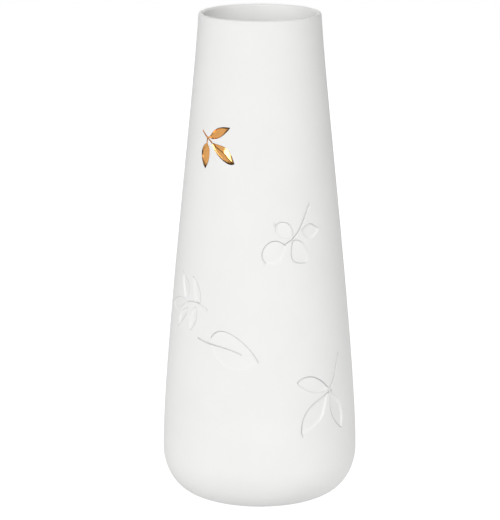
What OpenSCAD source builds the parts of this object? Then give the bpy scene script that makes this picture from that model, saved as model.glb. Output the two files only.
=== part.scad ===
// Tapered porcelain vase, round in plan, with leaf sprigs pressed into its wall.
// One sprig is gilded. Millimetres, +Z up, origin at the middle of the foot.
// The side of the vase that carries the gold sprig faces -Y.

/* [Body] */
// Height from the table to the top of the lip
height = 280; // [255:5:330]
// Outer radius just below the lip
rim_radius = 34.8; // [30:0.2:42]
// Greatest outer radius
belly_radius = 56.5; // [52:0.5:66]
// Height of the greatest radius
belly_height = 24; // [18:1:30]
// Outer radius of the ring that the vase stands on
foot_radius = 40; // [38:1:46]
// Thickness of the cast wall
wall = 2.8; // [2.4:0.1:3.2]

/* [Foot] */
// Inner radius of the ring that the vase stands on
foot_ring_inner = 33; // [28:1:36]
// Depth of the hollow inside that ring
foot_hollow = 2.5; // [1.5:0.5:3.5]
// Height of the inside floor above the table
floor_height = 7; // [6:0.5:12]

/* [Inside] */
// Length of the plain bare band below the lip
mouth_band = 9; // [6:1:18]
// Thickness of the glaze that lines the inside
glaze_thickness = 0.3; // [0.2:0.05:0.5]

/* [Sprigs] */
// Depth of the pressed leaves and stems
recess_depth = 1; // [0.6:0.1:1.2]
// How far the gold lies below the wall around it
gold_sink = 0.3; // [0.1:0.05:0.4]

/* [Hidden] */
$fn = 128;

// Roundness of the bottom corner: 2 is an ellipse, 1.9 is a little flatter
corner_power = 1.9;
// Lengths of the two handles that shape the long side of the wall
belly_handle = 53;
rim_handle = 30;
// How much wider the wall is at the lower end of the rim handle
rim_slope = 1.3;
// The lip is a half round as wide as the wall
lip_radius = wall / 2;
mouth_radius = rim_radius - wall;
mouth_band_z = height - mouth_band;
foot_edge_radius = 1;
corner_steps = 10;
outer_steps = 28;
inner_steps = 20;
arc_steps = 8;
side_steps = 9;
stem_steps = 7;
// The pressed shapes reach from well inside the wall to well outside the vase
press_start = 20;
press_end = belly_radius + 5;

// --- Curves ---------------------------------------------------------------

// Point at fraction t of a cubic curve from a to d with handles b and c
function curve_at(t, a, b, c, d) =
    pow(1 - t, 3) * a
    + 3 * t * pow(1 - t, 2) * b
    + 3 * t * t * (1 - t) * c
    + pow(t, 3) * d;

// Direction of travel at fraction t of the same curve
function curve_direction(t, a, b, c, d) =
    pow(1 - t, 2) * (b - a)
    + 2 * t * (1 - t) * (c - b)
    + t * t * (d - c);

// Rounded bottom corner, from a flat bottom at [foot, low] up to [belly, high]
function corner_arc(foot, low, belly, high) = [
    for (i = [0:corner_steps])
        let (a = 90 * i / corner_steps, p = 2 / corner_power)
            [
                foot + (belly - foot) * pow(sin(a), p),
                high - (high - low) * pow(cos(a), p),
            ]
];

// Long side of the wall, from the belly up to radius rim at height top
function wall_line(belly, rim, top, steps) = [
    for (i = [0:steps])
        curve_at(
            i / steps,
            [belly, belly_height],
            [belly, belly_height + belly_handle],
            [rim + rim_slope, top - rim_handle],
            [rim, top]
        )
];

// Arc of the given radius about a centre, without its first point
function arc(centre, radius, from, to) = [
    for (i = [1:arc_steps])
        let (a = from + (to - from) * i / arc_steps)
            centre + radius * [cos(a), sin(a)]
];

// --- Outlines of the turned parts -----------------------------------------

outer_wall = wall_line(belly_radius, rim_radius, height - lip_radius, outer_steps);

// Outer wall moved inwards, as a solid that fills the vase up to it
function core_outline(depth) = concat(
    [[0, belly_height]],
    [for (p = outer_wall) p - [depth, 0]],
    [[0, height - lip_radius]]
);

// Inside of the shell from the middle of the floor up to the mouth band
function inside_line(inset) = concat(
    [[0, floor_height + inset]],
    corner_arc(
        foot_radius - wall - inset,
        floor_height + inset,
        belly_radius - wall - inset,
        belly_height
    ),
    [
        for (i = [1:inner_steps])
            wall_line(belly_radius - wall - inset, mouth_radius - inset, mouth_band_z, inner_steps)[i]
    ]
);

// Reverses a list of points
function reversed(points) = [for (i = [len(points) - 1:-1:0]) points[i]];

foot_hollow_edge = arc(
    [foot_ring_inner - foot_edge_radius, foot_hollow - foot_edge_radius],
    foot_edge_radius, 0, 90
);

shell_outline = concat(
    [[0, foot_hollow]],
    reversed(foot_hollow_edge),
    [[foot_ring_inner, foot_hollow - foot_edge_radius], [foot_ring_inner, 0]],
    corner_arc(foot_radius, 0, belly_radius, belly_height),
    [for (i = [1:outer_steps]) outer_wall[i]],
    arc([rim_radius - lip_radius, height - lip_radius], lip_radius, 0, 180),
    reversed(inside_line(0))
);

glaze_outline = concat(inside_line(0), reversed(inside_line(glaze_thickness)));

// --- Sprigs ---------------------------------------------------------------
// A leaf is [base, tip, handles of one side, handles of the other side].
// A stem is [start, first handle, second handle, end, start width, end width].
// Both are drawn flat, as seen from outside, with +Y up.

gold_upper = [[-5.8, 8], [8.2, 14.7], [[-3, 11.5], [-1, 15.5]], [[-1.5, 6], [4, 8.5]]];
gold_lower = [[-7.2, 4.6], [-7.4, -9.8], [[-13, 2.5], [-11.5, -6]], [[-3.5, 2.5], [-4, -5]]];
gold_right = [[-3.4, 5.2], [11.9, -5.3], [[6, 4], [8, 4.5]], [[-4, 2.5], [7.5, -8.5]]];
gold_stems = [
    [[-11.2, 11.4], [-10, 9.8], [-8.5, 8.6], [-6.7, 7.6], 0.8, 1],
    [[-6.9, 7.9], [-7.1, 6.8], [-7, 5.6], [-7.2, 4.2], 0.9, 0.9],
    [[-6.9, 7.6], [-6, 7], [-4.6, 6.1], [-3, 4.9], 0.9, 0.9],
    [[-6.9, 7.6], [-6.4, 7.8], [-5.8, 8], [-5.2, 8.2], 0.9, 0.9],
];

round_leaves = [
    [[3, 4], [-6.9, 11.2], [[-2, 0.5], [-10, 6]], [[5, 9], [-1, 16]]],
    [[-1.5, -0.5], [-13.5, -10], [[-11, 8.5], [-19, -6]], [[-1.5, -8.5], [-8.5, -13.5]]],
    [[2.5, 1.7], [10.5, -12], [[9.5, 4.5], [16, -7]], [[1, -5.5], [-1, -12.5]]],
    [[8.3, 7.4], [20.8, 6.5], [[16, 13], [15.5, 9]], [[10, -0.5], [17.5, -0.5]]],
];
round_stems = [[[14.2, 20.5], [10, 12], [7.5, 3.5], [-2.5, -0.5], 1.9, 0.9]];

five_leaves = [
    [[10.5, 2.5], [5.5, 17.5], [[6.5, 6.5], [8, 12.5]], [[17.3, 0], [13.3, 15]]],
    [[2, 4], [-3.7, 17.5], [[-1.5, 0], [-7, 19]], [[7, 11.5], [2.5, 13.5]]],
    [[2.5, 1.5], [-17, -3], [[2.5, 3.5], [-11, 5]], [[-1.5, -1], [-10.5, -10]]],
    [[3.5, -1.2], [-7, -15.5], [[-7.5, -4.5], [-4, -8.5]], [[6, -4.5], [-4.5, -13]]],
    [[10.5, 0.5], [7, -14.5], [[4.5, -2], [4.5, -8.5]], [[13.5, -4.5], [11.5, -10.5]]],
];
five_stems = [[[19, -0.8], [15.5, 2.5], [8.5, 4], [1.8, 1.3], 1, 0.8]];

single_leaves = [[[-9.5, 10.5], [19.3, -1.2], [[-3.5, 23], [14.5, 9]], [[-8.5, -6], [9, -11.5]]]];
single_stems = [[[-18.5, 9], [-8, 5.5], [2.5, 6.5], [10, 2], 1.2, 0.8]];

three_leaves = [
    [[3.4, 4.6], [-18.4, 10.6], [[-4.5, 14], [-13.5, 16]], [[-0.5, -0.5], [-16.5, 4.5]]],
    [[3, 2.6], [-17.2, -19.8], [[-2, -1.5], [-17.5, -1]], [[-1, -5.5], [2.5, -14]]],
    [[5, 2.8], [13.6, -22], [[4, -2], [0, -12.5]], [[12.5, -3.5], [19.5, -12]]],
];
three_stems = [[[14, 22], [10.5, 17.5], [10.5, 8.5], [4, 3.8], 1.8, 1.1]];

// Where the gold sprig sits: angle about Z from -Y, and height
gold_angle = -36;
gold_height = 206;

// The plain sprigs: angle about Z from -Y, height, turn in its own plane, leaves, stems
plain_sprigs = [
    [20, 156, 0, round_leaves, round_stems],
    [-58, 117, 0, five_leaves, five_stems],
    [-22, 91, 0, single_leaves, single_stems],
    [43, 66, 0, three_leaves, three_stems],
    [122, 186, 160, three_leaves, three_stems],
    [128, 92, -35, single_leaves, single_stems],
    [178, 132, 70, five_leaves, five_stems],
    [184, 222, 150, single_leaves, single_stems],
    [186, 62, -100, round_leaves, round_stems],
    [232, 172, 115, round_leaves, round_stems],
    [236, 84, -60, three_leaves, three_stems],
];

function leaf_outline(leaf) = concat(
    [
        for (i = [0:side_steps])
            curve_at(i / side_steps, leaf[0], leaf[2][0], leaf[2][1], leaf[1])
    ],
    [
        for (i = [side_steps - 1:-1:1])
            curve_at(i / side_steps, leaf[0], leaf[3][0], leaf[3][1], leaf[1])
    ]
);

// Point beside a stem at fraction t: side is 1 for its left and -1 for its right
function stem_side(stem, t, side) =
    let (
        along = curve_direction(t, stem[0], stem[1], stem[2], stem[3]),
        half_width = (stem[4] + (stem[5] - stem[4]) * t) / 2
    )
        curve_at(t, stem[0], stem[1], stem[2], stem[3])
        + side * half_width * [-along.y, along.x] / norm(along);

function stem_outline(stem) = concat(
    [for (i = [0:stem_steps]) stem_side(stem, i / stem_steps, 1)],
    [for (i = [stem_steps:-1:0]) stem_side(stem, i / stem_steps, -1)]
);

// Stands a flat drawing on the wall and extrudes it straight through the wall
module press(angle, level, turn = 0) {
    rotate([0, 0, angle])
        translate([0, -press_start, level])
            rotate([90, 0, 0])
                linear_extrude(press_end - press_start)
                    rotate(turn)
                        children();
}

module leaf(leaf) {
    polygon(leaf_outline(leaf));
}

module stem(stem) {
    polygon(stem_outline(stem));
}

// Solid that fills the vase up to a surface that lies depth below its outside
module core(depth) {
    rotate_extrude()
        polygon(core_outline(depth));
}

// One gold leaf, cut straight through the wall
module gold_press(leaf) {
    press(gold_angle, gold_height)
        leaf(leaf);
}

module gold_stem_press() {
    press(gold_angle, gold_height)
        for (s = gold_stems)
            stem(s);
}

// Keeps the layer of a shape between the bottom of the recess and the gold's face
module gold_layer() {
    difference() {
        intersection() {
            children();
            core(gold_sink);
        }
        core(recess_depth);
    }
}

// --- Parts ----------------------------------------------------------------

module porcelain_body() {
    color("#efeeea")
        difference() {
            rotate_extrude()
                polygon(shell_outline);
            difference() {
                union() {
                    for (s = plain_sprigs) {
                        for (l = s[3])
                            press(s[0], s[1], s[2])
                                leaf(l);
                        for (t = s[4])
                            press(s[0], s[1], s[2])
                                stem(t);
                    }
                    gold_press(gold_upper);
                    gold_press(gold_lower);
                    gold_press(gold_right);
                    gold_stem_press();
                }
                core(recess_depth);
            }
        }
}

module inner_glaze() {
    color("#f7f6f2")
        rotate_extrude()
            polygon(glaze_outline);
}

module gold_stem() {
    color("#c98f4a")
        gold_layer()
            difference() {
                gold_stem_press();
                gold_press(gold_upper);
                gold_press(gold_lower);
                gold_press(gold_right);
            }
}

module gold_leaf_upper() {
    color("#dca25a")
        gold_layer()
            gold_press(gold_upper);
}

module gold_leaf_lower() {
    color("#dca25a")
        gold_layer()
            gold_press(gold_lower);
}

module gold_leaf_right() {
    color("#dca25a")
        gold_layer()
            gold_press(gold_right);
}

porcelain_body();
inner_glaze();
gold_stem();
gold_leaf_upper();
gold_leaf_lower();
gold_leaf_right();
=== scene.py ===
# %% [markdown]
# # A tapered porcelain vase with one gilded sprig
#
# The real vase is cast in a plaster mould, so its leaf sprigs are hollows that stood proud
# in the mould. It is fired without an outside glaze, which leaves the skin matt and a little
# chalky. Only the inside is glazed. One sprig is then brushed with liquid bright gold, and
# fired once more.
#
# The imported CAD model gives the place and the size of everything. The looks are added here
# around it, and the CAD nodes themselves are never moved.

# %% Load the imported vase
import math
from collections import Counter, namedtuple

import bpy
import numpy as np
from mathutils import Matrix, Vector
from mathutils.geometry import delaunay_2d_cdt


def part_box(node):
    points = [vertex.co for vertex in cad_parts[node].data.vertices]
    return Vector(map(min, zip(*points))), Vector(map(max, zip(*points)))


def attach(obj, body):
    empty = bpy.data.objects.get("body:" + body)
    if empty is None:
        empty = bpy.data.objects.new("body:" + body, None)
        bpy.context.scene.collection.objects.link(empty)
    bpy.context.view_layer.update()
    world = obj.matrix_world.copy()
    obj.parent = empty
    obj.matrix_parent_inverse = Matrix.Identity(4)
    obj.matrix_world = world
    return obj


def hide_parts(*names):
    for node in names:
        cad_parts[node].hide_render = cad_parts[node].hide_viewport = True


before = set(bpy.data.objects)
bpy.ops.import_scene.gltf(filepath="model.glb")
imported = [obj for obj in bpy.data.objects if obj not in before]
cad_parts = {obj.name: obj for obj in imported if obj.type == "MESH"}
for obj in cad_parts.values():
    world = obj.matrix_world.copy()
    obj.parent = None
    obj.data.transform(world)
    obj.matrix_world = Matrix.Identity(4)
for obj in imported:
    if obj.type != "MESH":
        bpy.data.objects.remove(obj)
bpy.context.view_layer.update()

print("nodes:", sorted(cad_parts))

# %% [markdown]
# ## The sizes that shape the vase
#
# The drawings of a vase are made in millimetres, so this script keeps millimetres until a
# mesh is made, and turns them into metres there. The overall sizes are read from the CAD
# nodes: the body gives the height and the belly, and the glaze lining gives the wall and the
# floor. The rest repeats the CAD's own driving dimensions.

# %% Read the sizes
MM = 0.001
body_low, body_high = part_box("porcelain_body")
lining_low, lining_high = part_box("inner_glaze")

HEIGHT = body_high.z / MM
BELLY_RADIUS = min(-body_low.x, body_high.x, -body_low.y, body_high.y) / MM
FLOOR_HEIGHT = lining_low.z / MM
BAND_HEIGHT = lining_high.z / MM
WALL = BELLY_RADIUS - lining_high.x / MM

BELLY_HEIGHT = 24
RIM_RADIUS = 34.8
FOOT_RADIUS = 40
LIP_RADIUS = WALL / 2
FOOT_RING_INNER = 33
FOOT_HOLLOW = 2.5
print(f"height {HEIGHT:.1f}, belly {BELLY_RADIUS:.1f}, wall {WALL:.2f}, floor {FLOOR_HEIGHT:.1f}")

# %% [markdown]
# ## The camera
#
# The vase is seen from a little above, by a long lens that stands well back, which is how
# product pictures keep the sides of a tall pot from leaning. The camera can come before the
# pieces, because it needs nothing from them.

# %% Place the camera
CAMERA_DISTANCE = 1.4
CAMERA_HEIGHT = 0.487
CAMERA_LENS = 172.9
CAMERA_SENSOR = 36
CAMERA_TILT_DOWN = 14.08
CAMERA_PAN_LEFT = 0.23

camera = bpy.data.objects.new("camera", bpy.data.cameras.new("camera"))
camera.data.lens = CAMERA_LENS
camera.data.sensor_width = CAMERA_SENSOR
camera.location = (0, -CAMERA_DISTANCE, CAMERA_HEIGHT)
camera.rotation_euler = (math.radians(90 - CAMERA_TILT_DOWN), 0, math.radians(CAMERA_PAN_LEFT))
bpy.context.scene.collection.objects.link(camera)
bpy.context.scene.camera = camera
print("camera at", tuple(camera.location))

# %% [markdown]
# ## The studio
#
# White porcelain shows its form only by soft changes of grey. A square box in front, to the
# left and well above the vase, is the main light. Its slant draws the pressed leaves: the
# wall of a hollow that faces it turns bright, and the wall that faces away turns dark. Wide
# panels at both sides glow much less and keep the edges of the vase light, one behind does
# the same for its back, and a round white table throws light up at its foot.
#
# Gilding is a mirror, and only shows what stands around it. Gold looks like gold when it
# has something bright and something dark to reflect. Here it mostly shows the left panel,
# and a small, bright strip box beside the key gives the white glint on its largest leaf. The
# dark gaps between them draw the folds.

# %% A helper for soft boxes
def round_the_vase(azimuth, elevation, distance, z):
    """A place seen from height z on the axis. Azimuth is in degrees to the camera's right."""
    turn, rise = math.radians(azimuth), math.radians(elevation)
    across = distance * math.cos(rise)
    return (across * math.sin(turn), -across * math.cos(turn), z + distance * math.sin(rise))


def soft_box(name, azimuth, elevation, distance, width, height, share):
    """Adds a soft box. share is how much of full white it adds to a surface that faces it."""
    lamp = bpy.data.lights.new(name, "AREA")
    lamp.shape = "RECTANGLE"
    lamp.size = width
    lamp.size_y = height
    lamp.energy = share * (math.pi * distance) ** 2
    box = bpy.data.objects.new(name, lamp)
    box.visible_camera = False
    box.location = round_the_vase(azimuth, elevation, distance, LIT_HEIGHT)
    towards = Vector((0, 0, LIT_HEIGHT)) - box.location
    box.rotation_euler = towards.to_track_quat("-Z", "Y").to_euler()
    bpy.context.scene.collection.objects.link(box)
    print(f"{name}: {share:.2f} of white, glows {share * math.pi * distance**2 / width / height:.2f}")


# %% Hang the lights
LIT_HEIGHT = 0.14

soft_box("key_box", -13, 36, 1.6, 1.1, 0.8, share=0.56)
soft_box("strip_box", -37, 16, 1.6, 0.56, 0.45, share=0.18)
soft_box("left_panel", -83, 15, 1.2, 1.8, 1.3, share=0.365)
soft_box("right_panel", 68, 14, 1.2, 1.3, 1.1, share=0.54)
soft_box("back_panel", 180, 30, 1.4, 1.3, 1.0, share=0.5)

# %% [markdown]
# ## The floor and the table's glow
#
# The floor that the camera sees is lit evenly from within, like a light table, so it stays
# close to white and takes only a faint shadow. What the vase sees is another sheet just
# below it: a round table top that sends up the light that a white table would, and nothing
# from further off. The camera doesn't see that one.

# %% Lay the floor
FLOOR_SIZE = 8.0
FLOOR_GREY = 0.3
FLOOR_GLOW = 0.97
TABLE_RADIUS = 0.6
TABLE_GLOW = 0.72
TABLE_DROP = 0.0005
TABLE_SIDES = 64


def sheet(name, outline, z):
    """A flat stage sheet with its face up."""
    mesh = bpy.data.meshes.new(name)
    mesh.from_pydata([(x, y, z) for x, y in outline], [], [list(range(len(outline)))])
    piece = bpy.data.objects.new(name, mesh)
    bpy.context.scene.collection.objects.link(piece)
    return piece


def lit_from_within(name, colour, glow):
    """A matt material that also gives off an even white light."""
    material = bpy.data.materials.new(name)
    material.use_nodes = True
    shader = material.node_tree.nodes["Principled BSDF"]
    shader.inputs["Base Color"].default_value = (colour, colour, colour, 1)
    shader.inputs["Roughness"].default_value = 0.9
    shader.inputs["Specular IOR Level"].default_value = 0
    shader.inputs["Emission Color"].default_value = (1, 1, 1, 1)
    shader.inputs["Emission Strength"].default_value = glow
    return material


reach = FLOOR_SIZE / 2
floor = sheet("floor", [(-reach, -reach), (reach, -reach), (reach, reach), (-reach, reach)], 0)
floor.data.materials.append(lit_from_within("light_table", FLOOR_GREY, FLOOR_GLOW))
floor.visible_diffuse = False
floor.visible_glossy = False
floor.visible_shadow = False

turns = [math.tau * k / TABLE_SIDES for k in range(TABLE_SIDES)]
round_top = [(TABLE_RADIUS * math.cos(t), TABLE_RADIUS * math.sin(t)) for t in turns]
table = sheet("table_glow", round_top, -TABLE_DROP)
table.data.materials.append(lit_from_within("table_light", 0, TABLE_GLOW))
table.visible_camera = False
table.visible_shadow = False
print(f"floor glows {FLOOR_GLOW} to the camera, table {TABLE_GLOW} to the vase")

# %% The sky
def studio_sky(light, mirror):
    """White to the camera, and two greys: one as light, and one as mirrors see it."""
    world = bpy.data.worlds.new("studio")
    world.use_nodes = True
    tree = world.node_tree
    tree.nodes.clear()
    new = tree.nodes.new
    link = tree.links.new
    ray = new("ShaderNodeLightPath")

    def grey(level):
        background = new("ShaderNodeBackground")
        background.inputs["Color"].default_value = (level, level, level, 1)
        return background.outputs["Background"]

    def where(kind, yes, no):
        mix = new("ShaderNodeMixShader")
        link(ray.outputs[kind], mix.inputs["Fac"])
        link(no, mix.inputs[1])
        link(yes, mix.inputs[2])
        return mix.outputs["Shader"]

    lit = where("Is Glossy Ray", grey(mirror), grey(light))
    seen = where("Is Camera Ray", grey(1), lit)
    link(seen, new("ShaderNodeOutputWorld").inputs["Surface"])
    return world


SKY_GREY = 0.03
bpy.context.scene.world = studio_sky(light=SKY_GREY, mirror=SKY_GREY)
bpy.context.scene.view_settings.view_transform = "Standard"
print("sky:", bpy.context.scene.world.name, "at", SKY_GREY)

# %% [markdown]
# ## The shape of the wall
#
# A thrower would draw the vase as one line and spin it. That line is a flattened quarter
# ellipse for the bottom corner, and above it one long cubic curve that leans in to the
# mouth. The curve needs only its two ends and two handles, so a change to the vase stays a
# change to a few numbers.

# %% The curves of the outline
CORNER_POWER = 1.9
BELLY_HANDLE = 53
RIM_HANDLE = 30
RIM_SLOPE = 1.3
FINE_STEPS = 2000


def cubic(steps, a, b, c, d):
    """Points of a cubic curve from a to d with handles b and c."""
    t = np.linspace(0, 1, steps + 1)[:, None]
    a, b, c, d = (np.array(point, float) for point in (a, b, c, d))
    return (1 - t) ** 3 * a + 3 * t * (1 - t) ** 2 * b + 3 * t**2 * (1 - t) * c + t**3 * d


def long_side(belly, rim, top, steps):
    """Radius and height along the wall, from the belly up to radius rim at height top."""
    return cubic(
        steps,
        (belly, BELLY_HEIGHT),
        (belly, BELLY_HEIGHT + BELLY_HANDLE),
        (rim + RIM_SLOPE, top - RIM_HANDLE),
        (rim, top),
    )


def bottom_corner(foot, low, belly, steps):
    """Radius and height round the bottom corner, from a flat bottom up to the belly."""
    turn = np.radians(np.linspace(0, 90, steps + 1))
    out = np.sin(turn) ** (2 / CORNER_POWER)
    up = np.cos(turn) ** (2 / CORNER_POWER)
    return np.column_stack([foot + (belly - foot) * out, BELLY_HEIGHT - (BELLY_HEIGHT - low) * up])


def arc(centre, radius, start, end, steps):
    """Points along an arc, with its angles in degrees."""
    turn = np.radians(np.linspace(start, end, steps + 1))
    return np.array(centre) + radius * np.column_stack([np.cos(turn), np.sin(turn)])


WALL_TOP = HEIGHT - LIP_RADIUS
wall_line = long_side(BELLY_RADIUS, RIM_RADIUS, WALL_TOP, FINE_STEPS)


def wall_radius(z):
    """Outer radius of the plain wall at height z."""
    return np.interp(z, wall_line[:, 1], wall_line[:, 0])


print("radius half way up:", round(float(wall_radius(HEIGHT / 2)), 2))

# %% [markdown]
# ## The leaves and stems
#
# Each leaf is drawn flat, as it would be cut into the mould: a base, a tip, and two handles
# for each of its two sides. A stem is one curve with a width at each end. Every hollow also
# says how wide the sloping wall is along each of its two sides. A narrow wall makes a crisp
# line, and a wide one a soft band of light. A floor may lie level, rise to the midrib, or run
# out towards one side, as if a gouge had been leant over. The same few drawings are used
# again round the back of the vase, turned and moved.

# %% What a hollow is
Hollow = namedtuple("Hollow", "one other walls lines deepest ends floor")
LEAF_DEPTH = 1.0
STEM_DEPTH = 0.9
GOLD_STEM_DEPTH = 0.25
LEAF_STEPS = 40
STEM_STEPS = 30
SAME_POINT = 1e-6


def leaf(base, tip, one, other, walls, lines=(1, 0), ends=(1, 1), floor=(1, 0.8, 1, 2)):
    """A leaf. walls gives each side's sloping width, and lines how strong the painted shade in its
    crease is. ends are shares of the depth at base and tip. floor has the shares at the first
    side, at the midrib and at the other side, and how round the midrib is: 1 is a sharp crease."""
    sides = [cubic(LEAF_STEPS, base, *handles, tip) for handles in (one, other)]
    return Hollow(*sides, walls, lines, LEAF_DEPTH, ends, floor)


def stem(a, b, c, d, widths, walls, lines=(1, 1), deepest=STEM_DEPTH):
    """A stem along one curve. Its first side is on the left of someone who walks along it."""
    middle = cubic(STEM_STEPS, a, b, c, d)
    along = np.gradient(middle, axis=0)
    across = np.column_stack([-along[:, 1], along[:, 0]])
    across /= np.linalg.norm(across, axis=1)[:, None]
    half = np.linspace(widths[0], widths[1], len(middle))[:, None] / 2
    sides = middle + across * half, middle - across * half
    return Hollow(*sides, walls, lines, deepest, (1, 1), (1, 1, 1, 1))


def outline_of(hollow):
    """The closed outline of a hollow, as points."""
    line = np.concatenate([hollow.one, hollow.other[::-1]])
    fresh = np.linalg.norm(line - np.roll(line, 1, axis=0), axis=1) > SAME_POINT
    return line[fresh]


# %% Draw the gilded sprig
SOFT = (0.7, 0.7)
GOLD_UPPER = leaf(
    (-5.8, 8), (8.2, 14.7), ((-3, 11.5), (-1, 15.5)), ((-1.5, 6), (4, 8.5)),
    SOFT, ends=(0.8, 0.8), floor=(0.9, 0.8, 0.9, 2),
)
GOLD_LOWER = leaf(
    (-7.2, 4.6), (-7.4, -9.8), ((-13, 2.5), (-11.5, -6)), ((-3.5, 2.5), (-4, -5)),
    (1.5, 0.7), floor=(0.8, 0.75, 0.9, 2),
)
GOLD_RIGHT = leaf(
    (-3.4, 5.2), (11.9, -5.3), ((6, 4), (8, 4.5)), ((-4, 2.5), (7.5, -8.5)),
    (0.5, 0.7), floor=(1, 0.42, 0.47, 1.05),
)
GOLD_STEM = [
    stem(*curve, widths, (0.45, 0.45), deepest=GOLD_STEM_DEPTH)
    for *curve, widths in (
        ((-11.2, 11.4), (-10, 9.8), (-8.5, 8.6), (-6.7, 7.6), (0.8, 1)),
        ((-6.9, 7.9), (-7.1, 6.8), (-7, 5.6), (-7.2, 4.2), (0.9, 0.9)),
        ((-6.9, 7.6), (-6, 7), (-4.6, 6.1), (-3, 4.9), (0.9, 0.9)),
        ((-6.9, 7.6), (-6.4, 7.8), (-5.8, 8), (-5.2, 8.2), (0.9, 0.9)),
    )
]

# %% Draw the plain sprigs
ROUND = (
    leaf(
        (3, 4), (-6.9, 11.2), ((-2, 0.5), (-10, 6)), ((5, 9), (-1, 16)),
        (1.6, 0.8), (0.15, 0.5), ends=(0.2, 1), floor=(0.5, 0.7, 1, 1),
    ),
    leaf(
        (-1.5, -0.5), (-13.5, -10), ((-11, 8.5), (-19, -6)), ((-1.5, -8.5), (-8.5, -13.5)),
        (0.8, 1.4), (0.6, 0), ends=(1, 0.8),
    ),
    leaf(
        (2.5, 1.7), (10.5, -12), ((9.5, 4.5), (16, -7)), ((1, -5.5), (-1, -12.5)),
        (1.2, 0.9), (0.2, 0.6), ends=(1, 0.7),
    ),
    leaf(
        (8.3, 7.4), (20.8, 6.5), ((16, 13), (15.5, 9)), ((10, -0.5), (17.5, -0.5)),
        (0.8, 1.4), (0.4, 0), floor=(1, 0.75, 0.6, 1),
    ),
    stem((14.2, 20.5), (10, 12), (7.5, 3.5), (-2.5, -0.5), (1.9, 0.9), (0.9, 0.4), (0, 0.65)),
)
FIVE = (
    leaf(
        (10.5, 2.5), (5.5, 17.5), ((6.5, 6.5), (8, 12.5)), ((17.3, 0), (13.3, 15)),
        (1.3, 0.9), (0, 0.6), floor=(1, 0.65, 0.3, 1),
    ),
    leaf(
        (2, 4), (-3.7, 17.5), ((-1.5, 0), (-7, 19)), ((7, 11.5), (2.5, 13.5)),
        (1.2, 0.9), (0, 0.6), floor=(1, 0.65, 0.3, 1),
    ),
    leaf(
        (2.5, 1.5), (-17, -3), ((2.5, 3.5), (-11, 5)), ((-1.5, -1), (-10.5, -10)),
        (0.8, 1.4), (0.2, 0), floor=(0.8, 0.7, 0.6, 1),
    ),
    leaf(
        (3.5, -1.2), (-7, -15.5), ((-7.5, -4.5), (-4, -8.5)), ((6, -4.5), (-4.5, -13)),
        (1.2, 0.9), (0, 0.6), floor=(1, 0.65, 0.3, 1),
    ),
    leaf(
        (10.5, 0.5), (7, -14.5), ((4.5, -2), (4.5, -8.5)), ((13.5, -4.5), (11.5, -10.5)),
        (1.2, 0.9), (0, 0.6), floor=(1, 0.65, 0.3, 1),
    ),
    stem((19, -0.8), (15.5, 2.5), (8.5, 4), (1.8, 1.3), (1, 0.8), (0.6, 0.4), (0.1, 0.1)),
)
SINGLE = (
    leaf(
        (-9.5, 10.5), (19.3, -1.2), ((-3.5, 23), (14.5, 9)), ((-8.5, -6), (9, -11.5)),
        (0.8, 1.6), (0.55, 0), ends=(1, 0.8), floor=(1, 0.6, 0.25, 1),
    ),
    stem((-18.5, 9), (-8, 5.5), (2.5, 6.5), (10, 2), (1.2, 0.8), (0.7, 0.4), (0.4, 0.4)),
)
THREE = (
    leaf(
        (3.4, 4.6), (-18.4, 10.6), ((-4.5, 14), (-13.5, 16)), ((-0.5, -0.5), (-16.5, 4.5)),
        (0.8, 1.6), (0.8, 0.2), floor=(1, 0.8, 0.6, 1),
    ),
    leaf(
        (3, 2.6), (-17.2, -19.8), ((-2, -1.5), (-17.5, -1)), ((-1, -5.5), (2.5, -14)),
        (0.9, 2), ends=(1, 0.6),
    ),
    leaf(
        (5, 2.8), (13.6, -22), ((4, -2), (0, -12.5)), ((12.5, -3.5), (19.5, -12)),
        (1.2, 1.2), floor=(0.55, 0.8, 1, 1),
    ),
    stem((14, 22), (10.5, 17.5), (10.5, 8.5), (4, 3.8), (1.8, 1.1), (1, 0.6), (0, 0.5)),
)

# Angle about Z from the front, height, turn in its own plane, hollows
GOLD_SPRIG = (-36, 206, 0, (GOLD_UPPER, GOLD_LOWER, GOLD_RIGHT, *GOLD_STEM))
PLAIN_SPRIGS = (
    (20, 156, 0, ROUND),
    (-58, 117, 0, FIVE),
    (-22, 91, 0, SINGLE),
    (43, 66, 0, THREE),
    (122, 186, 160, THREE),
    (128, 92, -35, SINGLE),
    (178, 132, 70, FIVE),
    (184, 222, 150, SINGLE),
    (186, 62, -100, ROUND),
    (232, 172, 115, ROUND),
    (236, 84, -60, THREE),
)

# %% [markdown]
# ## From drawing to wall
#
# A sprig is a flat drawing that is pushed straight into a round wall. So a point of the
# drawing that lies u to the right lands further round the vase than u itself, by the
# arcsine. These helpers go both ways between the drawing and the wall, where a place on
# the wall is an angle and a height.

# %% The way on to the wall, and distances in the drawing
BEHIND = 1e3
TINY = 1e-9


def turned(points, degrees):
    """Points turned about the origin."""
    c, s = math.cos(math.radians(degrees)), math.sin(math.radians(degrees))
    return points @ np.array([[c, s], [-s, c]])


def on_wall(points, sprig):
    """Angle in radians and height on the wall of points in a sprig's drawing."""
    flat = turned(points, sprig[2])
    z = sprig[1] + flat[:, 1]
    return np.column_stack([math.radians(sprig[0]) + np.arcsin(flat[:, 0] / wall_radius(z)), z])


def in_drawing(places, sprig):
    """The inverse of on_wall. Places on the far side of the vase come back as far away."""
    angle = places[:, 0] - math.radians(sprig[0])
    u = wall_radius(places[:, 1]) * np.sin(angle)
    u = np.where(np.cos(angle) > 0, u, BEHIND)
    return turned(np.column_stack([u, places[:, 1] - sprig[1]]), -sprig[2])


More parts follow.
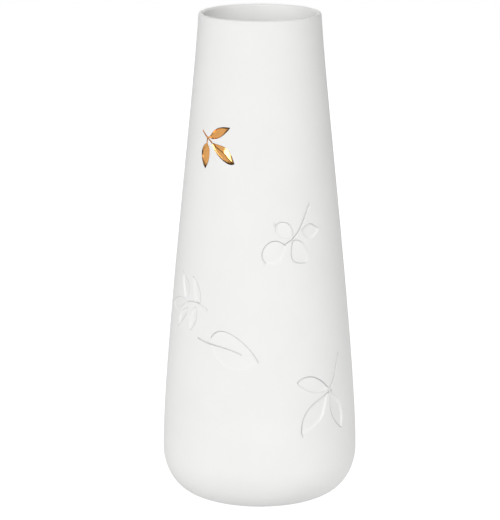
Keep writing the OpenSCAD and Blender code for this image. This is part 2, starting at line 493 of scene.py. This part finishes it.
def distance_to(points, a, b):
    """Distance of each point from the nearest of the straight runs from a to b."""
    side = b - a
    offset = points[:, None] - a[None]
    share = np.clip((offset * side).sum(2) / np.maximum((side**2).sum(1), TINY), 0, 1)
    return np.linalg.norm(offset - share[..., None] * side, axis=2).min(1)


def is_inside(points, outline):
    """Which points a closed outline surrounds."""
    a, b = outline, np.roll(outline, -1, axis=0)
    spans = (a[:, 1] > points[:, None, 1]) != (b[:, 1] > points[:, None, 1])
    rise = np.where(b[:, 1] == a[:, 1], TINY, b[:, 1] - a[:, 1])
    cross_at = a[:, 0] + (points[:, None, 1] - a[:, 1]) * (b[:, 0] - a[:, 0]) / rise
    return (spans & (points[:, None, 0] < cross_at)).sum(1) % 2 == 1


def signed_distance(points, outline):
    """Distance of each point from a closed outline: positive inside it, negative outside."""
    gap = distance_to(points, outline, np.roll(outline, -1, axis=0))
    return np.where(is_inside(points, outline), gap, -gap)


# %% [markdown]
# ## How deep the wall is pressed
#
# The edge of a cast hollow is never a knife edge, because slip rounds it off and the kiln
# softens it more. So the depth grows smoothly from nothing at the outline to full at the
# foot of the sloping wall. It is the product of two slopes, one from each side of the leaf,
# and they fade into each other at the tips. A third slope closes the blunt ends of a stem. A
# folded leaf also rises to a crease half way between its sides. The depth is a plain
# function of the place on the wall, and the mesh and its shading normals both come from it.

# %% The depth of the hollows
NEAR = 30
CROSSING = 0.5
CRISP_WALL = 0.6
CRISP_SHARE = 0.4
END_WALL = 0.6
LINE_FROM = 0.2
LINE_TO = 1.0


def smooth(t):
    """An S curve from 0 at t = 0 to 1 at t = 1."""
    t = np.clip(t, 0, 1)
    return t * t * (3 - 2 * t)


def wall_slope(gap, width):
    """Share of the depth at a distance from the outline. A wide wall still starts crisply."""
    crisp = smooth(gap / min(width, CRISP_WALL))
    return CRISP_SHARE * crisp + (1 - CRISP_SHARE) * smooth(gap / width)


def side_gaps(points, hollow):
    """Distances from the two sides of a hollow."""
    one = distance_to(points, hollow.one[:-1], hollow.one[1:])
    return one, distance_to(points, hollow.other[:-1], hollow.other[1:])


def hollow_depth(points, hollow):
    """Depth of one hollow at points in its sprig's drawing."""
    depth = np.zeros(len(points))
    inside = is_inside(points, outline_of(hollow))
    inner = points[inside]
    one, other = side_gaps(inner, hollow)
    ends_one = np.array([hollow.one[0], hollow.one[-1]])
    ends_other = np.array([hollow.other[0], hollow.other[-1]])
    end = distance_to(inner, ends_one, ends_other)
    slopes = wall_slope(one, hollow.walls[0]) * wall_slope(other, hollow.walls[1])
    slopes *= smooth(end / END_WALL)
    first, midrib, last, roundness = hollow.floor
    off_midrib = (other - one) / (one + other + TINY)
    towards = np.where(off_midrib > 0, first, last) - midrib
    across = midrib + towards * np.abs(off_midrib) ** roundness
    base, tip = hollow.one[0], hollow.one[-1]
    along = smooth((inner - base) @ (tip - base) / ((tip - base) @ (tip - base)))
    share = hollow.ends[0] + (hollow.ends[1] - hollow.ends[0]) * along
    depth[inside] = hollow.deepest * share * slopes * across
    return depth


def sprig_depth(points, sprig):
    """Depth of a sprig's hollows at points in its drawing. They add up a little at crossings."""
    depth = np.zeros(len(points))
    for hollow in sprig[3]:
        one = hollow_depth(points, hollow)
        depth = np.maximum(depth, one) + CROSSING * np.minimum(depth, one)
    return depth


def sprig_painted_shade(points, sprig):
    """How much painted shade greys the crease lines of a sprig at points in its drawing, from 0 to 1.
    """
    grey = np.zeros(len(points))
    for hollow in sprig[3]:
        inside = is_inside(points, outline_of(hollow))
        for gap, strength in zip(side_gaps(points, hollow), hollow.lines):
            fade = smooth((LINE_TO - gap) / (LINE_TO - LINE_FROM))
            line = strength * smooth(gap / LINE_FROM) * fade
            grey = np.where(inside, np.maximum(grey, line), grey)
    return grey


def over_sprigs(places, sprigs, measure):
    """The greatest value of a measure of each sprig, at places on the wall."""
    most = np.zeros(len(places))
    for sprig in sprigs:
        points = in_drawing(places, sprig)
        near = np.hypot(points[:, 0], points[:, 1]) < NEAR
        most[near] = np.maximum(most[near], measure(points[near], sprig))
    return most


def wall_depth(places):
    """How deep the wall is pressed at places on it."""
    return over_sprigs(places, (GOLD_SPRIG, *PLAIN_SPRIGS), sprig_depth)


# %% [markdown]
# ## Points and normals of the pressed wall
#
# Each point of the wall is found by its angle, its height and how far it lies above or
# below the pressed surface. Its normal comes from how the surface changes over a few
# hundredths of a millimetre, so that the shading stays smooth however the triangles lie.

# %% Place points on the wall
PROBE = 0.03


def wall_points(places, lift=0):
    """Positions in millimetres of places on the pressed wall, moved outwards by lift."""
    r = wall_radius(places[:, 1]) - wall_depth(places) + lift
    return np.column_stack([r * np.sin(places[:, 0]), -r * np.cos(places[:, 0]), places[:, 1]])


def wall_normals(places):
    """Outward normals of the pressed wall."""
    r = wall_radius(places[:, 1])
    step_round = np.column_stack([PROBE / r, np.zeros(len(r))])
    step_up = np.column_stack([np.zeros(len(r)), np.full(len(r), PROBE)])
    around = wall_points(places + step_round) - wall_points(places - step_round)
    up = wall_points(places + step_up) - wall_points(places - step_up)
    normal = np.cross(around, up)
    return normal / np.linalg.norm(normal, axis=1)[:, None]


# %% [markdown]
# ## The mesh of the wall
#
# The wall is unrolled like a label. A plain grid of points covers it, and every outline adds
# a few lines side by side, on its edge and just inside it, so that the edges of the
# triangles follow the hollow exactly. A constrained triangulation joins them all up. Its
# cut runs up the vase where no sprig is in the way.

# %% Lines along each outline
COLUMNS = 240
ROW_STEP = 2.5
SEAM = 72
LINE_OFFSETS = (0, 0.15, 0.32, 0.52, 0.8, 1.15)
LINE_STEP = 0.7
FLOOR_GRID = 1.2
CLEAR = 0.6
SIDE_TEST = 0.05
OFFSET_ERROR = 0.02


def resampled(outline, step):
    """The same closed outline with evenly spaced points."""
    closed = np.concatenate([outline, outline[:1]])
    walk = np.concatenate([[0], np.cumsum(np.linalg.norm(np.diff(closed, axis=0), axis=1))])
    at = np.linspace(0, walk[-1], max(8, round(walk[-1] / step)), endpoint=False)
    return np.column_stack([np.interp(at, walk, closed[:, k]) for k in range(2)])


def offset_line(outline, offset, step):
    """Points at one distance inward from an outline, and which neighbours to join."""
    even = resampled(outline, step)
    along = np.roll(even, -1, axis=0) - np.roll(even, 1, axis=0)
    inward = np.column_stack([-along[:, 1], along[:, 0]])
    inward /= np.linalg.norm(inward, axis=1)[:, None]
    if signed_distance(even[:1] + SIDE_TEST * inward[:1], outline)[0] < 0:
        inward = -inward
    moved = even + offset * inward
    good = np.abs(signed_distance(moved, outline) - offset) < OFFSET_ERROR
    following = np.roll(np.arange(len(even)), -1)
    pairs = [(i, j) for i, j in enumerate(following) if good[i] and good[j]]
    used = sorted({k for pair in pairs for k in pair})
    number = {k: n for n, k in enumerate(used)}
    return moved[used], [(number[i], number[j]) for i, j in pairs]


def shape_points(outline, others, offsets, step, grid):
    """Every mesh point that one hollow needs, with its joined pairs."""
    points, pairs = [], []
    for offset in offsets:
        line, joins = offset_line(outline, offset, step)
        start = sum(map(len, points))
        points.append(line)
        pairs += [(start + i, start + j) for i, j in joins]
    low, high = outline.min(0), outline.max(0)
    x, y = np.meshgrid(np.arange(low[0], high[0], grid), np.arange(low[1], high[1], grid))
    inner = np.column_stack([x.ravel(), y.ravel()])
    keep = signed_distance(inner, outline) > max(offsets) + grid / 3
    for other in others:
        keep &= np.abs(signed_distance(inner, other)) > grid / 2
    points.append(inner[keep])
    return np.concatenate(points), pairs


# %% Triangulate the unrolled wall
FILL_HULL = 0
MARGIN = 1e-4


def after_seam(angle):
    """The same angle, counted on from the seam."""
    seam = math.radians(SEAM)
    return (angle - seam) % (2 * math.pi) + seam


def triangulate(places, pairs):
    """Joins places on the wall into triangles. The flat sheet is scaled to about real size.
    The triangulation rounds its points, so each one that it was given takes back its exact
    place. Without that, hairline gaps stay open along the seam and the lip."""
    scale = np.array([wall_radius(HEIGHT / 2), 1])
    flat = [Vector(p) for p in places * scale]
    out, _, faces, given, *_ = delaunay_2d_cdt(flat, pairs, [], FILL_HULL, MARGIN, True)
    exact = np.array([tuple(p) for p in out]) / scale
    for k, sources in enumerate(given):
        if sources:
            exact[k] = places[sources[0]]
    return exact, [list(f) for f in faces]


angles = np.radians(SEAM + np.linspace(0, 360, COLUMNS + 1))
rows = np.linspace(BELLY_HEIGHT, WALL_TOP, round((WALL_TOP - BELLY_HEIGHT) / ROW_STEP) + 1)
grid_places = np.array([(a, z) for z in rows for a in angles])
edge_places = (
    (grid_places[:, 1] == rows[0])
    | (grid_places[:, 1] == rows[-1])
    | (grid_places[:, 0] == angles[0])
    | (grid_places[:, 0] == angles[-1])
)
keep_grid = np.ones(len(grid_places), bool)
wall_places, wall_pairs = [], []
for sprig in (GOLD_SPRIG, *PLAIN_SPRIGS):
    outlines = [outline_of(hollow) for hollow in sprig[3]]
    drawn = in_drawing(grid_places, sprig)
    near = np.hypot(drawn[:, 0], drawn[:, 1]) < NEAR
    for k, outline in enumerate(outlines):
        others = outlines[:k] + outlines[k + 1 :]
        points, pairs = shape_points(outline, others, LINE_OFFSETS, LINE_STEP, FLOOR_GRID)
        start = sum(map(len, wall_places))
        places = on_wall(points, sprig)
        places[:, 0] = after_seam(places[:, 0])
        wall_places.append(places)
        wall_pairs += [(start + i, start + j) for i, j in pairs]
        keep_grid[near] &= signed_distance(drawn[near], outline) < -CLEAR
wall_places.append(grid_places[keep_grid | edge_places])
wall_places, wall_faces = triangulate(np.concatenate(wall_places), wall_pairs)
print("wall:", len(wall_places), "points,", len(wall_faces), "triangles")

# %% [markdown]
# ## Turning the rest
#
# The lip, the inside, the foot ring and the bottom are plain turned surfaces, so they are
# spun from the outline. A profile runs the way that leaves the porcelain on its left, and
# then its faces look outwards.

# %% Spin a profile
def spin(profile):
    """Points, normals and faces of a profile spun round the axis."""
    profile = np.asarray(profile, float)
    along = np.gradient(profile, axis=0)
    normal = np.column_stack([along[:, 1], -along[:, 0]])
    normal /= np.linalg.norm(normal, axis=1)[:, None]
    s, c = np.sin(angles[:-1]), -np.cos(angles[:-1])
    points = np.array([(r * x, r * y, z) for r, z in profile for x, y in zip(s, c)])
    normals = np.array([(n * x, n * y, m) for n, m in normal for x, y in zip(s, c)])
    faces = []
    for i in range(len(profile) - 1):
        for j in range(COLUMNS):
            k = (j + 1) % COLUMNS
            below, above = i * COLUMNS, (i + 1) * COLUMNS
            faces.append([below + j, below + k, above + k, above + j])
    return points, normals, faces


def dense(*corners, step=2.0):
    """Straight runs through corners, with a point at least every step."""
    line = [np.array([corners[0]], float)]
    for a, b in zip(corners, corners[1:]):
        a, b = np.array(a, float), np.array(b, float)
        count = max(1, math.ceil(np.linalg.norm(b - a) / step))
        line.append(a + (b - a) * np.linspace(0, 1, count + 1)[1:, None])
    return np.concatenate(line)


def joined(*runs):
    """Runs end to end, without the doubled points."""
    line = np.concatenate(runs)
    fresh = np.concatenate([[True], np.linalg.norm(np.diff(line, axis=0), axis=1) > SAME_POINT])
    return line[fresh]


# %% [markdown]
# ## Making a mesh from its parts
#
# The wall and the turned parts share their edge points, and the middle of each floor has
# many points in one place. Points that fall together are made one, which closes the body
# into a single watertight skin. The normals worked out above are then stored on it.

# %% Build an object from points, normals and faces
MERGE_DIGITS = 4


def make_piece(name, parts, marks=None):
    """One smooth mesh object from (points, normals, faces) parts, in millimetres. marks are
    named values, one for each point, which the material can read."""
    points = np.concatenate([p for p, _, _ in parts])
    normals = np.concatenate([n for _, n, _ in parts])
    _, first, same = np.unique(
        np.round(points, MERGE_DIGITS), axis=0, return_index=True, return_inverse=True
    )
    same = same.ravel()
    faces, start = [], 0
    for part_points, _, part_faces in parts:
        for face in part_faces:
            ring = [same[start + k] for k in face]
            ring = [k for n, k in enumerate(ring) if k != ring[n - 1]]
            if len(ring) > 2:
                faces.append(ring)
        start += len(part_points)
    mesh = bpy.data.meshes.new(name)
    mesh.from_pydata((points[first] * MM).tolist(), [], faces)
    mesh.polygons.foreach_set("use_smooth", [True] * len(mesh.polygons))
    mesh.normals_split_custom_set_from_vertices(normals[first].tolist())
    for mark, values in (marks or {}).items():
        mesh.attributes.new(mark, "FLOAT", "POINT").data.foreach_set("value", values[first])
    piece = bpy.data.objects.new(name, mesh)
    bpy.context.scene.collection.objects.link(piece)
    edge_uses = Counter(edge for p in mesh.polygons for edge in p.edge_keys)
    gaps = sum(count != 2 for count in edge_uses.values())
    triangles = sum(len(p.vertices) - 2 for p in mesh.polygons)
    print(f"{name} has {triangles} triangles and {gaps} open or doubled edges")
    return piece


# %% [markdown]
# ## The body
#
# The outer wall, the upper turned part and the lower one make one closed body. The painted
# shade of each crease is stored on its points, for the material to read later.

# %% The porcelain body
FOOT_EDGE = 0.6
HOLLOW_EDGE = 1.0
UNDER_GOLD = 0.1
UNDER_GOLD_EDGE = 0.3
SIDE_STEPS = 48
INNER_CORNER_STEPS = 14
OUTER_CORNER_STEPS = 24
LIP_STEPS = 16
EDGE_STEPS = 6
FLOOR_STEP = 4


def inside_profile():
    """The inside of the shell from the mouth band down to the middle of the floor."""
    belly = BELLY_RADIUS - WALL
    side = long_side(belly, RIM_RADIUS - WALL, BAND_HEIGHT, SIDE_STEPS)
    corner = bottom_corner(FOOT_RADIUS - WALL, FLOOR_HEIGHT, belly, INNER_CORNER_STEPS)
    floor = dense(corner[0], (0, FLOOR_HEIGHT), step=FLOOR_STEP)
    return joined(side[::-1], corner[::-1], floor)


upper_profile = joined(
    arc((RIM_RADIUS - LIP_RADIUS, WALL_TOP), LIP_RADIUS, 0, 180, LIP_STEPS),
    dense((RIM_RADIUS - WALL, WALL_TOP), (RIM_RADIUS - WALL, BAND_HEIGHT)),
    inside_profile(),
)
hollow_corner = (FOOT_RING_INNER - HOLLOW_EDGE, FOOT_HOLLOW - HOLLOW_EDGE)
lower_profile = joined(
    dense((0, FOOT_HOLLOW), (hollow_corner[0], FOOT_HOLLOW), step=FLOOR_STEP),
    arc(hollow_corner, HOLLOW_EDGE, 90, 0, EDGE_STEPS),
    arc((FOOT_RING_INNER + FOOT_EDGE, FOOT_EDGE), FOOT_EDGE, 180, 270, EDGE_STEPS),
    dense((FOOT_RING_INNER + FOOT_EDGE, 0), (FOOT_RADIUS, 0)),
    bottom_corner(FOOT_RADIUS, 0, BELLY_RADIUS, OUTER_CORNER_STEPS),
)
gold_outlines = [outline_of(hollow) for hollow in GOLD_SPRIG[3]]
drawn = in_drawing(wall_places, GOLD_SPRIG)
beside = np.hypot(drawn[:, 0], drawn[:, 1]) < NEAR
under_gold = np.zeros(len(wall_places))
in_gold = np.max([signed_distance(drawn[beside], line) for line in gold_outlines], axis=0)
under_gold[beside] = UNDER_GOLD * smooth(in_gold / UNDER_GOLD_EDGE)
turned_parts = [spin(upper_profile), spin(lower_profile)]
plain = sum(len(points) for points, _, _ in turned_parts)
# Painted shade: how grey each crease of the plain leaves is painted, stored on the wall's points.
creases = over_sprigs(wall_places, PLAIN_SPRIGS, sprig_painted_shade)
body = make_piece(
    "vase_body",
    [
        (wall_points(wall_places, -under_gold), wall_normals(wall_places), wall_faces),
        *turned_parts,
    ],
    {"crease": np.concatenate([creases, np.zeros(plain)])},
)
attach(body, "root")
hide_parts("porcelain_body")

# %% [markdown]
# ## The glaze inside
#
# Clear glaze is poured in, swirled and poured out again. It covers the inside with a glassy
# skin and thins out to nothing just below the lip, where the potter wipes it back. So the
# lining is a closed skin whose upper edge tapers away.

# %% Pour the lining
GLAZE = 0.3
GLAZE_FADE = 14
GLAZE_BITE = 0.02


def lining_profile():
    """A closed skin: down the glassy face, and back up against the porcelain."""
    face = inside_profile()
    below_edge = BAND_HEIGHT - face[:, 1]
    thick = GLAZE * np.sqrt(np.clip(below_edge / GLAZE_FADE, 0, 1))
    along = np.gradient(face, axis=0)
    out = np.column_stack([along[:, 1], -along[:, 0]])
    out /= np.linalg.norm(out, axis=1)[:, None]
    shown = face + out * thick[:, None]
    shown[-1, 0] = 0
    back = face - out * GLAZE_BITE
    back[-1, 0] = 0
    return joined(back[::-1], shown)


lining = make_piece("glaze_lining", [spin(lining_profile())])
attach(lining, "root")
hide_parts("inner_glaze")

# %% [markdown]
# ## The gilding
#
# Bright gold is a film far thinner than paper, so it takes its whole shape from the hollow
# below it. Each gilded leaf is a fine mesh laid in its hollow, from lip to lip, just proud
# of the porcelain, with a back face hidden in the wall to close it. The mesh is much finer
# than the wall's, because a mirror shows every flat facet. The porcelain below it lies a
# tenth of a millimetre deeper, so that none of it pokes through.

# %% Lay a gold leaf in its hollow
GOLD_LIFT = 0.03
GOLD_ROOT = 0.2
GOLD_OFFSETS = (0, 0.07, 0.15, 0.24, 0.34, 0.45, 0.6, 0.8)
GOLD_STEP = 0.3
GOLD_GRID = 0.4
LIFT_OVER = 0.1
LIFT_LEAST = 0.25
JUST_INSIDE = 1e-3
THIN_RIM = 0.3
TIP_RIM = 2.4
TIP_FROM = 0.35
RIDGE = 0.55
RIDGE_BELOW = 0.5


def film_thin_and_painted_dark(points, hollow, inward):
    """How thin the gold of a leaf is, from 0 to 1: at its edge, by its tip and on a ridge. The
    material also paints the gold dark there as painted dark reflection.
    """
    base, tip = hollow.one[0], hollow.one[-1]
    along = (points - base) @ (tip - base) / ((tip - base) @ (tip - base))
    rim = THIN_RIM + TIP_RIM * smooth((along - TIP_FROM) / (1 - TIP_FROM))
    thin = 1 - smooth(inward / rim)
    if hollow.floor[1] < RIDGE_BELOW:
        one, other = side_gaps(points, hollow)
        thin = np.maximum(thin, 1 - smooth(np.abs(one - other) / 2 / RIDGE))
    return thin


def gild(name, hollows, node):
    """A gold film over hollows of the gilded sprig, made closed by a hidden back face."""
    outlines = [outline_of(hollow) for hollow in hollows]
    gathered, pairs = [], []
    for k, outline in enumerate(outlines):
        others = outlines[:k] + outlines[k + 1 :]
        points, joins = shape_points(outline, others, GOLD_OFFSETS, GOLD_STEP, GOLD_GRID)
        start = sum(map(len, gathered))
        gathered.append(points)
        pairs += [(start + i, start + j) for i, j in joins]
    places = on_wall(np.concatenate(gathered), GOLD_SPRIG)
    places, faces = triangulate(places, pairs)
    flat = in_drawing(places, GOLD_SPRIG)
    middles = np.array([flat[f].mean(0) for f in faces])
    inside = np.max([signed_distance(middles, o) for o in outlines], axis=0) > JUST_INSIDE
    faces = [f for f, keep in zip(faces, inside) if keep]
    depth_in = np.max([signed_distance(flat, o) for o in outlines], axis=0)
    film = GOLD_LIFT * np.clip(depth_in / LIFT_OVER, LIFT_LEAST, 1)
    front = wall_points(places, film)
    back = wall_points(places, -GOLD_ROOT)
    normals = wall_normals(places)
    count = len(places)
    sides = {(i, j) for f in faces for i, j in zip(f, f[1:] + f[:1])}
    rim = sorted((i, j) for i, j in sides if (j, i) not in sides)
    all_faces = [list(f) for f in faces]
    all_faces += [[count + k for k in reversed(f)] for f in faces]
    all_faces += [[j, i, count + i, count + j] for i, j in rim]
    is_leaf = len(hollows) == 1
    # This mark also carries the painted dark reflection at the gold's edges, tips and ridge.
    thin = film_thin_and_painted_dark(flat, hollows[0], depth_in) if is_leaf else np.zeros(count)
    piece = make_piece(
        name,
        [(np.concatenate([front, back]), np.concatenate([normals, -normals]), all_faces)],
        {"thin_film_and_painted_dark": np.concatenate([thin, thin])},
    )
    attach(piece, "root")
    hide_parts(node)
    return piece


gold_pieces = [
    gild("gilded_upper_leaf", [GOLD_UPPER], "gold_leaf_upper"),
    gild("gilded_lower_leaf", [GOLD_LOWER], "gold_leaf_lower"),
    gild("gilded_right_leaf", [GOLD_RIGHT], "gold_leaf_right"),
    gild("gilded_stem", GOLD_STEM, "gold_stem"),
]

# %% [markdown]
# ## Bisque porcelain
#
# Bare porcelain is white with a trace of warmth, and matt, because its skin is a mass of
# fine sintered grains with no glass over them. Light scatters in those grains, so there is
# hardly any highlight. The tone drifts by about one part in a hundred over a few
# centimetres, where the slip was thicker or the kiln hotter, and the grain itself shows
# only as a slight tooth. The foot ring is ground flat, which leaves it rougher and greyer.
# The crisp creases of the leaves get a painted shade of grey. It stands in for the shade
# that wide, soft lights wash out of a shallow hollow.

# %% Helpers for materials
def new_material(name):
    """A node material, its shader, and two short ways to add nodes to it."""
    material = bpy.data.materials.new(name)
    material.use_nodes = True
    tree = material.node_tree
    shader = tree.nodes["Principled BSDF"]

    def add(kind, **inputs):
        node = tree.nodes.new(kind)
        for socket, value in inputs.items():
            plug(value, node.inputs[socket.replace("_", " ")])
        return node

    def plug(value, socket):
        if isinstance(value, bpy.types.NodeSocket):
            tree.links.new(value, socket)
        else:
            socket.default_value = value

    return material, shader, add, plug


def noise(add, where, size, detail=3.0):
    """A noise with blobs of about a given size in millimetres, from about 0 to 1."""
    node = add("ShaderNodeTexNoise", Vector=where, Scale=1 / (size * MM), Detail=detail)
    return node.outputs["Fac"]


def spread(add, value, low, high, to_low, to_high):
    """A value carried from one range to another, and held at the ends."""
    node = add("ShaderNodeMapRange", Value=value)
    ends = {"From Min": low, "From Max": high, "To Min": to_low, "To Max": to_high}
    for socket, number in ends.items():
        node.inputs[socket].default_value = number
    return node.outputs["Result"]


def mixed(add, share, first, second):
    """A mix of two colours."""
    node = add("ShaderNodeMix")
    node.data_type = "RGBA"
    plugs = [socket for socket in node.inputs if socket.type == "RGBA"]
    factor = next(socket for socket in node.inputs if socket.name == "Factor")
    node.id_data.links.new(share, factor)
    for socket, colour in zip(plugs, (first, second)):
        if isinstance(colour, bpy.types.NodeSocket):
            node.id_data.links.new(colour, socket)
        else:
            socket.default_value = colour
    return next(socket for socket in node.outputs if socket.type == "RGBA")


# %% Bisque porcelain
WARMER_WHITE = (0.864, 0.864, 0.853, 1)
LIGHTER_WHITE = (0.882, 0.88, 0.872, 1)
GROUND_FOOT = (0.74, 0.73, 0.71, 1)
PAINTED_CREASE_GREY = (0.25, 0.25, 0.25, 1)
CREASE_MOST = 0.75
BISQUE_SHINE = 0.3


def bisque_porcelain():
    """Matt white porcelain with a faint grain, a ground foot, and painted shade in the leaf creases.
    """
    material, shader, add, plug = new_material("bisque_porcelain")
    where = add("ShaderNodeTexCoord").outputs["Object"]
    drift = spread(add, noise(add, where, 30), 0.35, 0.65, 0, 1)
    tone = mixed(add, drift, WARMER_WHITE, LIGHTER_WHITE)
    height = add("ShaderNodeSeparateXYZ", Vector=where).outputs["Z"]
    ground = spread(add, height, 0.2 * MM, 1.2 * MM, 1, 0)
    ground_tone = mixed(add, ground, tone, GROUND_FOOT)
    # Painted shade: the crease mark greys the base colour in the crisp creases of the leaves.
    crease = add("ShaderNodeAttribute")
    crease.attribute_name = "crease"
    painted_crease_shade = spread(add, crease.outputs["Fac"], 0, 1, 0, CREASE_MOST)
    plug(mixed(add, painted_crease_shade, ground_tone, PAINTED_CREASE_GREY), shader.inputs["Base Color"])
    patches = noise(add, where, 4)
    plug(spread(add, patches, 0.3, 0.7, 0.62, 0.76), shader.inputs["Roughness"])
    grain = noise(add, where, 0.35, detail=2)
    tooth = add("ShaderNodeBump", Height=grain, Strength=0.12, Distance=0.05 * MM)
    plug(tooth.outputs["Normal"], shader.inputs["Normal"])
    shader.inputs["Specular IOR Level"].default_value = BISQUE_SHINE
    return material


body.data.materials.append(bisque_porcelain())
print(body.name, "is made of", body.data.materials[0].name)

# %% [markdown]
# ## Clear glaze
#
# The glaze inside is clear glass over the same white clay, so it takes the clay's colour and
# adds a wet gloss. Glass that was poured and swirled is never quite flat. Its surface rolls
# over about a centimetre, and has a fine orange peel where bubbles healed over.

# %% Clear glaze
THIN_GLAZE = (0.865, 0.87, 0.855, 1)
THICK_GLAZE = (0.885, 0.885, 0.87, 1)
GLAZE_IOR = 1.52


def clear_glaze():
    """Glossy glass over white clay, a little uneven."""
    material, shader, add, plug = new_material("clear_glaze")
    where = add("ShaderNodeTexCoord").outputs["Object"]
    pooling = spread(add, noise(add, where, 18), 0.35, 0.65, 0, 1)
    colour = mixed(add, pooling, THIN_GLAZE, THICK_GLAZE)
    plug(colour, shader.inputs["Base Color"])
    plug(spread(add, noise(add, where, 3), 0.3, 0.7, 0.07, 0.14), shader.inputs["Roughness"])
    rolling = add("ShaderNodeBump", Height=noise(add, where, 9), Strength=0.25, Distance=0.2 * MM)
    peel = add("ShaderNodeBump", Height=noise(add, where, 0.9), Strength=0.1, Distance=0.05 * MM)
    plug(rolling.outputs["Normal"], peel.inputs["Normal"])
    plug(peel.outputs["Normal"], shader.inputs["Normal"])
    shader.inputs["IOR"].default_value = GLAZE_IOR
    return material


lining.data.materials.append(clear_glaze())
print(lining.name, "is made of", lining.data.materials[0].name)

# %% [markdown]
# ## Bright gold
#
# Liquid gold is brushed on and fired at a low heat. What stays is a mirror of real gold, a
# reddish one, with faint streaks along the strokes of the brush. Where the brush left too
# little, at the edges, on a sharp ridge and where a stroke runs out at the tip of a leaf,
# the film burns brown. That brown is partly the burned film and partly painted dark
# reflection. The mesh says how thin the film is at each point.

# %% Bright gold
DEEP_GOLD = (0.93, 0.45, 0.14, 1)
LIGHT_GOLD = (0.98, 0.5, 0.17, 1)
BURNT_AND_PAINTED_DARK_GOLD = (0.06, 0.028, 0.008, 1)
BURNT_DULLING = 0.35
STROKE_TURN = 35
STROKE_STRETCH = 0.25


def bright_gold():
    """A gold mirror with brush streaks, darkened to brown where the film is thin: partly as the film
    burns, partly as painted dark reflection.
    """
    material, shader, add, plug = new_material("bright_gold")
    where = add("ShaderNodeTexCoord").outputs["Object"]
    turned_strokes = add("ShaderNodeMapping", Vector=where, Scale=(1, 1, STROKE_STRETCH))
    turned_strokes.inputs["Rotation"].default_value = (0, math.radians(STROKE_TURN), 0)
    streaks = noise(add, turned_strokes.outputs["Vector"], 0.5, detail=2)
    thin = add("ShaderNodeAttribute")
    thin.attribute_name = "thin_film_and_painted_dark"
    ragged = add("ShaderNodeMath", Value=thin.outputs["Fac"])
    ragged.operation = "ADD"
    plug(spread(add, streaks, 0.3, 0.7, -0.15, 0.15), ragged.inputs[1])
    # Painted dark reflection: the thin film mark turns the gold dark brown at its edges, tips and
    # ridge, on top of the burned-film look.
    burnt_and_painted_dark = spread(add, ragged.outputs["Value"], 0.25, 0.85, 0, 1)
    warm = spread(add, noise(add, where, 3), 0.3, 0.7, 0, 1)
    film = mixed(add, warm, DEEP_GOLD, LIGHT_GOLD)
    plug(mixed(add, burnt_and_painted_dark, film, BURNT_AND_PAINTED_DARK_GOLD), shader.inputs["Base Color"])
    polish = spread(add, streaks, 0.3, 0.7, 0.06, 0.15)
    dulled = add("ShaderNodeMath", Value=burnt_and_painted_dark)
    dulled.operation = "MULTIPLY_ADD"
    dulled.inputs[1].default_value = BURNT_DULLING
    plug(polish, dulled.inputs[2])
    plug(dulled.outputs["Value"], shader.inputs["Roughness"])
    strokes = add("ShaderNodeBump", Height=streaks, Strength=0.12, Distance=0.03 * MM)
    plug(strokes.outputs["Normal"], shader.inputs["Normal"])
    shader.inputs["Metallic"].default_value = 1
    return material


gold = bright_gold()
for piece in gold_pieces:
    piece.data.materials.append(gold)
    print(piece.name, "is made of", gold.name)
